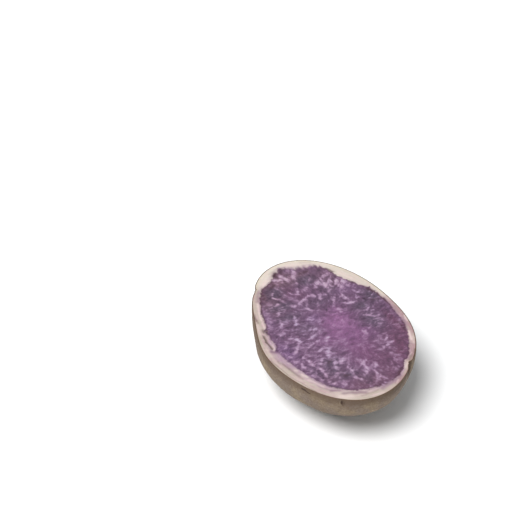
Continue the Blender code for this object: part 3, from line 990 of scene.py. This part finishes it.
class Recipe:
    """A new material and short ways to add nodes to it."""

    def __init__(self, name):
        self.material = bpy.data.materials.new(name)
        self.material.use_nodes = True
        self.tree = self.material.node_tree
        self.shader = self.tree.nodes["Principled BSDF"]
        self.where = self.add("ShaderNodeTexCoord").outputs["Object"]

    def add(self, kind, inputs=(), **settings):
        """Adds a node, sets it, and links or fills its inputs, which are (socket, value) pairs."""
        made = self.tree.nodes.new(kind)
        for name, value in settings.items():
            setattr(made, name, value)
        for socket, value in inputs:
            if isinstance(value, bpy.types.NodeSocket):
                self.tree.links.new(value, made.inputs[socket])
            else:
                made.inputs[socket].default_value = value
        return made

    def stored(self, name):
        """A number stored at the mesh's points."""
        return self.add("ShaderNodeAttribute", attribute_name=name).outputs["Fac"]

    def noise(self, size, detail=3.0, where=None, roughness=0.55):
        """Noise from 0 to 1 with features of about that size, in metres."""
        inputs = (("Vector", where or self.where), ("Scale", 1.0 / size))
        inputs += (("Detail", detail), ("Roughness", roughness))
        return self.add("ShaderNodeTexNoise", inputs).outputs["Fac"]

    def swing(self, size, detail, where=None):
        """The same noise, brought to swing from -0.5 to 0.5."""
        return self.sum(self.noise(size, detail, where), 0.5, "SUBTRACT")

    def bent(self, reach, size):
        """The place on the object, pushed about by noise, so that patterns lose their straight lines."""
        push = self.add("ShaderNodeTexNoise", (("Vector", self.where), ("Scale", 1.0 / size)))
        inputs = ((0, push.outputs["Color"]), (1, (0.5, 0.5, 0.5)))
        centred = self.add("ShaderNodeVectorMath", inputs, operation="SUBTRACT")
        inputs = ((0, centred.outputs[0]), (1, (2.0 * reach,) * 3), (2, self.where))
        return self.add("ShaderNodeVectorMath", inputs, operation="MULTIPLY_ADD").outputs[0]

    def around_ring(self, length, thickness):
        """A place in a space stretched round the ring, so that noise read there runs in streaks along it."""
        east = self.times(self.stored("ring_east"), RING_RADIUS / length)
        north = self.times(self.stored("ring_north"), RING_RADIUS / length)
        depth = self.times(self.stored("from_rim"), 1.0 / thickness)
        return self.add("ShaderNodeCombineXYZ", (("X", east), ("Y", north), ("Z", depth))).outputs[0]

    def cells(self, size, feature="F1", where=None):
        """Distance from the nearest point of a scattered pattern, in parts of its spacing."""
        inputs = (("Vector", where or self.where), ("Scale", 1.0 / size))
        return self.add("ShaderNodeTexVoronoi", inputs, feature=feature).outputs["Distance"]

    def sum(self, first, second, how="ADD"):
        """Arithmetic on two numbers."""
        return self.add("ShaderNodeMath", ((0, first), (1, second)), operation=how).outputs[0]

    def times(self, first, second):
        """The product of two numbers."""
        return self.sum(first, second, "MULTIPLY")

    def spread(self, low, high, value, start=0.0, end=1.0):
        """start where value is below low, end where it is above high, and a smooth change between."""
        inputs = (("Value", value), ("From Min", low), ("From Max", high), ("To Min", start), ("To Max", end))
        made = self.add("ShaderNodeMapRange", inputs, interpolation_type="SMOOTHSTEP", clamp=True)
        return made.outputs["Result"]

    def share(self, low, high, value, start=0.0, end=1.0):
        """As spread, but with an even change between."""
        inputs = (("Value", value), ("From Min", low), ("From Max", high), ("To Min", start), ("To Max", end))
        return self.add("ShaderNodeMapRange", inputs, clamp=True).outputs["Result"]

    def mix(self, share, first, second):
        """Two colours mixed: first where share is 0, second where it is 1."""
        return self.add("ShaderNodeMix", ((0, share), (6, first), (7, second)), data_type="RGBA").outputs[2]

    def finish(self, **inputs):
        """Fills or links the shader's own sockets, named with underscores for spaces."""
        for name, value in inputs.items():
            socket = self.shader.inputs[name.replace("_", " ")]
            if isinstance(value, bpy.types.NodeSocket):
                self.tree.links.new(value, socket)
            else:
                socket.default_value = value
        return self.material


print("a screen's middle grey, as a renderer counts it:", round(paint(128, 128, 128)[0], 3))

# %% [markdown]
# ## Skin
#
# The skin is a thin layer of cork: matt, warm grey and tan. Clouds of a dull bloom and of umber lie in
# it, then fine pebbling, pale and dark pores, and a faint net of cracks where the cork split as the tuber
# grew. Painted shade darkens it to a brown band close under the cut, and a little on the underside. The
# eyes get painted shade in their pits and folds and have worn brows, and the creases get the darkest
# painted shade. Each is one layer of the recipe, from the broadest to the finest, and the finest also feed
# the bump, so that light catches what the colour shows.

# %% Skin material
TAN = paint(138, 121, 98)
TAN_PALE = paint(154, 138, 115)
UMBER = paint(104, 85, 66)
BLOOM = paint(122, 107, 97)
PORE_PALE = paint(172, 156, 134)
PORE_DARK = paint(88, 68, 55)
CRACK = paint(112, 92, 76)
# The stem scar's brown, also used as painted shade in the eyes' pits and folds
EYE_PAINTED_SHADE_AND_SCAR_BROWN = paint(66, 49, 39)
BROW_PALE = paint(176, 158, 134)
# Colour of the painted shade in a band close under the cut
UNDER_CUT_PAINTED_SHADE = paint(90, 72, 58)
# Colour of the painted shade on the underside, towards the table
UNDERSIDE_PAINTED_SHADE = paint(84, 69, 56)
# Colour of the painted shade in the skin's creases
CREASE_PAINTED_SHADE = paint(62, 45, 37)
# Clouds over the bloom: (size in millimetres, detail, roughness, begins, is full, cover, colour)
SKIN_CLOUDS = (
    (10.0, 5.0, 0.55, 0.36, 0.66, 1.0, TAN),
    (5.0, 6.0, 0.68, 0.50, 0.78, 0.9, TAN_PALE),
    (5.6, 6.0, 0.72, 0.54, 0.80, 0.95, UMBER),
)
# (spacing in millimetres, radius of middle and rim in spacings, patch size, bare below, full above)
PORE_DOTS = (2.3, 0.07, 0.17, 4.0, 0.45, 0.62)
PRICK_DOTS = (3.1, 0.03, 0.11, 5.0, 0.42, 0.58)
PORE_COVER = 0.38
PRICK_COVER = 0.8


def dots(skin, spacing, middle, rim, patch_size, bare, full):
    """A mask of round dots on a scattered pattern, which is missing in patches."""
    dot = skin.spread(middle, rim, skin.cells(spacing * MM), 1.0, 0.0)
    return skin.times(dot, skin.spread(bare, full, skin.noise(patch_size * MM, 2.0)))


def skin_material():
    skin = Recipe("potato_skin")
    colour = BLOOM
    for size, detail, roughness, begins, full, cover, tint in SKIN_CLOUDS:
        here = skin.spread(begins, full, skin.noise(size * MM, detail, roughness=roughness), 0.0, cover)
        colour = skin.mix(here, colour, tint)
    pebble = skin.noise(0.8 * MM, 4.0, roughness=0.65)
    colour = skin.mix(skin.spread(0.32, 0.62, pebble, 0.50, 0.0), colour, UMBER)
    colour = skin.mix(skin.spread(0.50, 0.75, pebble, 0.0, 0.42), colour, TAN_PALE)

    crack = skin.cells(2.6 * MM, "DISTANCE_TO_EDGE", skin.bent(0.9 * MM, 1.3 * MM))
    crack_here = skin.spread(0.50, 0.66, skin.noise(8 * MM, 3.0))
    crack_line = skin.times(skin.spread(0.0, 0.06, crack, 0.6, 0.0), crack_here)
    colour = skin.mix(crack_line, colour, CRACK)
    pore = dots(skin, *PORE_DOTS)
    colour = skin.mix(skin.times(pore, PORE_COVER), colour, PORE_PALE)
    prick = dots(skin, *PRICK_DOTS)
    colour = skin.mix(skin.times(prick, PRICK_COVER), colour, PORE_DARK)

    depth = skin.sum(skin.stored("below_cut"), skin.noise(1.5 * MM))
    # Painted shade: a brown band close under the cut, fading out by about 6 mm below it
    colour = skin.mix(skin.spread(0.6, 6.0, depth, 0.84, 0.0), colour, UNDER_CUT_PAINTED_SHADE)
    # Painted shade: the underside darkens from about 9 mm below the cut, for the contact shadow at its lower
    # edge
    colour = skin.mix(skin.spread(9.0, 17.0, depth, 0.0, 0.45), colour, UNDERSIDE_PAINTED_SHADE)
    colour = skin.mix(skin.spread(0.15, 1.0, skin.stored("eye_worn"), 0.0, 0.6), colour, BROW_PALE)
    uneven = skin.sum(pebble, 0.5, "SUBTRACT")
    # The stem scar's own brown, and painted shade in the pits and folds of the eyes
    eye = skin.sum(skin.stored("scar_brown_and_eye_painted_shade"), uneven)
    colour = skin.mix(skin.spread(0.05, 0.9, eye, 0.0, 0.95), colour, EYE_PAINTED_SHADE_AND_SCAR_BROWN)
    crease = skin.sum(skin.stored("crease"), skin.times(uneven, 0.5))
    # Painted shade in the creases, which are too thin to be grooves in the mesh
    colour = skin.mix(skin.spread(0.1, 0.9, crease), colour, CREASE_PAINTED_SHADE)
    height = skin.sum(skin.sum(pebble, pore), skin.sum(prick, crack_line), "SUBTRACT")
    bump = skin.add("ShaderNodeBump", (("Height", height), ("Strength", 0.5), ("Distance", 0.14 * MM)))
    roughness = skin.spread(0.3, 0.7, pebble, 0.90, 0.74)
    return skin.finish(
        Base_Color=colour, Roughness=roughness, Normal=bump.outputs["Normal"], Specular_IOR_Level=0.3
    )


mesh.materials.append(skin_material())
print("skin layers end in", len(mesh.materials[0].node_tree.nodes), "nodes")

# %% [markdown]
# ## The cut face
#
# Raw potato is dense, moist and slightly translucent. One material covers the whole cut, because ring and
# flesh are one tissue, and the place across the ring decides which recipe shows. The flesh starts as a
# mid purple and takes the zones' tints. The tone then turns it to dark strands or to pink and pale
# flecks, and a fine grain breaks all of them up.

# %% Colours of the flesh
FLESH = paint(111, 81, 109)
# From the broadest to the one that has the last word
ZONE_TINTS = (
    ("violet", paint(119, 88, 124)), ("plum", paint(108, 67, 92)), ("dusty", paint(112, 84, 97)),
    ("slate", paint(93, 77, 96)), ("pith", paint(131, 86, 127)), ("core", paint(144, 98, 139)),
)
STRAND_DARK = paint(62, 43, 61)
MOTTLE_PINK = paint(152, 108, 147)
FLECK_PALE = paint(184, 157, 182)
FLECK_COOL = paint(175, 156, 184)
FLECK_WARM = paint(188, 160, 177)
BORDER_PLUM = paint(78, 47, 60)
TONE_TO_DARK = 5.0
TONE_TO_PINK = 3.5
TONE_TO_PALE = 7.0
GRAIN_IN_TONE = 2.6


def flesh_colour(cut, grain, fleck_grain):
    """The colour of the flesh all over the cut, also where the ring will cover it."""
    colour = FLESH
    for zone, tint in ZONE_TINTS:
        colour = cut.mix(cut.stored(zone), colour, tint)
    tone = cut.sum(cut.stored("tone"), cut.times(fleck_grain, GRAIN_IN_TONE))
    colour = cut.mix(cut.share(-TONE_TO_DARK, 0.0, tone, 1.0, 0.0), colour, STRAND_DARK)
    colour = cut.mix(cut.share(0.0, TONE_TO_PINK, tone, 0.0, 0.5), colour, MOTTLE_PINK)
    fleck = cut.mix(cut.stored("cool"), FLECK_PALE, FLECK_COOL)
    fleck = cut.mix(cut.stored("dusty"), fleck, FLECK_WARM)
    colour = cut.mix(cut.share(0.0, TONE_TO_PALE, tone), colour, fleck)
    colour = cut.mix(cut.stored("border"), colour, BORDER_PLUM)
    return cut.mix(cut.spread(0.3, 0.7, grain, 0.25, 0.0), colour, STRAND_DARK)


print(f"{len(ZONE_TINTS)} tints lie over the flesh's own colour")

# %% [markdown]
# The ring is cream, a shade yellower at the skin. Noise that runs along it makes it uneven, and that same
# noise sways how far it turns to rose, tan and lilac, so the three never meet in a clean line. The
# streaks lie over that.

# %% Colours of the ring
RING_CREAM = paint(208, 196, 186)
RING_OUTER_CREAM = paint(208, 199, 181)
RING_ROSE = paint(160, 127, 132)
RING_TAN = paint(150, 135, 120)
RING_LILAC_TINT = paint(165, 137, 155)
STREAK_PALE = paint(216, 196, 192)
STREAK_TINTS = (
    ("brown_streaks", paint(112, 94, 88)),
    ("mauve_streaks", paint(121, 92, 110)),
    ("pale_streaks", STREAK_PALE),
)
STREAK_COVER = 0.9
STREAK_LENGTH = 5.5
STREAK_THICKNESS = 0.8
STREAKY = 2.2
BLOTCHY = 0.9
BLOTCH_SIZE = 1.4 * MM


def ring_colour(cut, grain):
    """The colour of the ring all over the cut, also where the flesh will cover it."""
    streak = cut.swing(1.0, 3.0, cut.around_ring(STREAK_LENGTH, STREAK_THICKNESS))
    uneven = cut.sum(cut.times(streak, STREAKY), cut.times(cut.swing(BLOTCH_SIZE, 3.0), BLOTCHY))
    uneven = cut.times(uneven, cut.share(0.0, 0.4, cut.stored("dullness"), 0.35, 1.0))
    outer = cut.spread(0.4, 1.6, cut.stored("from_rim"), 1.0, 0.0)
    ring = cut.mix(outer, RING_CREAM, RING_OUTER_CREAM)
    ring = cut.mix(cut.share(0.0, 1.0, cut.sum(cut.stored("dullness"), uneven)), ring, RING_ROSE)
    tanned = cut.sum(cut.stored("tanned"), uneven, "SUBTRACT")
    ring = cut.mix(cut.share(0.0, 1.1, tanned), ring, RING_TAN)
    lilac = cut.sum(cut.stored("lilac"), cut.times(uneven, cut.stored("lilac")))
    ring = cut.mix(cut.share(0.0, 1.0, lilac), ring, RING_LILAC_TINT)
    clear = cut.share(0.3, 1.0, cut.stored("dullness"), 0.5, 0.1)
    ring = cut.mix(cut.times(cut.spread(0.02, 0.20, streak), clear), ring, STREAK_PALE)
    for mark, tint in STREAK_TINTS:
        ring = cut.mix(cut.times(cut.stored(mark), STREAK_COVER), ring, tint)
    return cut.mix(cut.spread(0.3, 0.7, grain, 0.10, 0.0), ring, RING_TAN)


print(f"{len(STREAK_TINTS)} kinds of streak lie over the ring's cream")

# %% [markdown]
# The two meet where the number for the distance into the flesh passes 0. A mask from noise nibbles at it
# first, so that the border isn't a drawn line. The dark spots, painted shade in the open slit and the brown
# edge of the skin go on last. A little light enters the surface, which softens the edges as the real thing
# does.

# %% Cut material
SPOT_BROWN = paint(66, 40, 50)
SPOT_COVER = 0.9
# Colour of the painted shade inside the open slit and the nick
SLIT_PAINTED_SHADE = paint(112, 94, 90)
LIP_BROWN = paint(92, 70, 54)
LIP_LINE = 0.36
GRAIN_SIZE = 0.45 * MM
FLECK_GRAIN_SIZE = 0.62 * MM
RAGGED_SIZE = 1.0 * MM
RAGGED_COARSE = 1.2
RAGGED_FINE = 0.8
# The distance past the ring, divided by the softness, at which the flesh begins and at which it is full
FLESH_BEGINS = -0.45
FLESH_IS_FULL = 0.55


def cut_material():
    cut = Recipe("potato_cut")
    grain = cut.noise(GRAIN_SIZE, 3.0)
    fleck_grain = cut.swing(FLECK_GRAIN_SIZE, 2.0)
    ragged = cut.times(cut.swing(RAGGED_SIZE, 3.0), RAGGED_COARSE)
    ragged = cut.sum(ragged, cut.times(fleck_grain, RAGGED_FINE))
    into_flesh = cut.sum(cut.sum(cut.stored("into_flesh"), ragged), cut.stored("softness"), "DIVIDE")
    in_flesh = cut.spread(FLESH_BEGINS, FLESH_IS_FULL, into_flesh)
    colour = cut.mix(in_flesh, ring_colour(cut, grain), flesh_colour(cut, grain, fleck_grain))
    colour = cut.mix(cut.times(cut.stored("spots"), SPOT_COVER), colour, SPOT_BROWN)
    # Painted shade inside the open slit and the nick
    colour = cut.mix(cut.stored("opened"), colour, SLIT_PAINTED_SHADE)
    lip = cut.spread(0.8 * LIP_LINE, 1.2 * LIP_LINE, cut.stored("from_rim"), 1.0, 0.0)
    colour = cut.mix(lip, colour, LIP_BROWN)
    roughness = cut.spread(0.2, 0.8, grain, 0.40, 0.56)
    bump = cut.add("ShaderNodeBump", (("Height", grain), ("Strength", 0.35), ("Distance", 0.06 * MM)))
    return cut.finish(
        Base_Color=colour, Roughness=roughness, Normal=bump.outputs["Normal"], Specular_IOR_Level=0.35,
        Subsurface_Weight=0.12, Subsurface_Radius=(1.0, 0.6, 0.7), Subsurface_Scale=0.8 * MM,
    )


mesh.materials.append(cut_material())
print("cut layers end in", len(mesh.materials[1].node_tree.nodes), "nodes")

# %% [markdown]
# ## Joining the looks to the part
#
# The fine mesh has the coarse solid's form, so it may stand in for it: this mesh is what is shown, while
# the solid and its hull still do the weighing and the bumping. Nothing on a potato moves, so it rides on
# the root.

# %% Join the looks to the part
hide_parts(NODE)
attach(potato, "root")
print(f"{potato.name} takes the place of {NODE}")

# %% [markdown]
# ## Table and light
#
# The half lies on a white table in soft studio light. The main light is high, a little to the left and
# towards the camera, so the shadow is short and falls to the right. An area lamp would leave the far
# table dark, so a sun lamp stands in for it, with a disc as wide as a large softbox looks. A dim sky
# fills the shadow, and is brightest near the horizon, as white walls are.

# %% White table
TABLE_HALF_SIDE = 4.0
TABLE_WHITE = (0.9, 0.9, 0.9, 1.0)
TABLE_ROUGHNESS = 0.9
table_mesh = bpy.data.meshes.new("table")
table_corners = [
    (x * TABLE_HALF_SIDE, y * TABLE_HALF_SIDE, 0.0) for x, y in ((-1, -1), (1, -1), (1, 1), (-1, 1))
]
table_mesh.from_pydata(table_corners, [], [(0, 1, 2, 3)])
table = bpy.data.objects.new("table", table_mesh)
scene.collection.objects.link(table)
white = Recipe("white_table")
table_mesh.materials.append(white.finish(Base_Color=TABLE_WHITE, Roughness=TABLE_ROUGHNESS))
print(f"the table is {2.0 * TABLE_HALF_SIDE:.0f} m wide, so its border stays out of view")

# %% Lamps and sky
KEY_FROM = as_seen(-0.40, -0.33, 1.00)
KEY_BREADTH = math.radians(36.0)
KEY_STRENGTH = 3.45
SKY_AT_HORIZON = 1.06
SKY_ABOVE_WALLS = 0.46
SKY_OVERHEAD = 0.34
WALL_TOP = 0.13
SKY_BEGINS = 0.26
SKY_EVENS_OUT = 0.7
SKY_TINT = (0.95, 0.98, 1.0, 1.0)

key = bpy.data.objects.new("softbox", bpy.data.lights.new("softbox", "SUN"))
scene.collection.objects.link(key)
key.data.energy = KEY_STRENGTH
key.data.angle = KEY_BREADTH
key.rotation_euler = KEY_FROM.to_track_quat("Z", "Y").to_euler()
scene.view_settings.view_transform = "Standard"
world = bpy.data.worlds.new("studio")
scene.world = world
world.use_nodes = True
sky_nodes = world.node_tree
direction = sky_nodes.nodes.new("ShaderNodeTexCoord").outputs["Generated"]
split = sky_nodes.nodes.new("ShaderNodeSeparateXYZ")
sky_nodes.links.new(direction, split.inputs[0])
fall = sky_nodes.nodes.new("ShaderNodeFloatCurve")
sky_nodes.links.new(split.outputs["Z"], fall.inputs["Value"])
curve = fall.mapping.curves[0]
curve.points[0].location = (0.0, SKY_AT_HORIZON)
curve.points[1].location = (1.0, SKY_OVERHEAD)
curve.points.new(WALL_TOP, SKY_AT_HORIZON)
curve.points.new(SKY_BEGINS, SKY_ABOVE_WALLS)
curve.points.new(SKY_EVENS_OUT, SKY_OVERHEAD)
for point in curve.points:
    point.handle_type = "VECTOR"
fall.mapping.update()
sky_nodes.links.new(fall.outputs["Value"], sky_nodes.nodes["Background"].inputs["Strength"])
sky_nodes.nodes["Background"].inputs["Color"].default_value = SKY_TINT
print(f"the key light stands {90.0 - math.degrees(KEY_FROM.angle(Vector((0, 0, 1)))):.0f} degrees up")
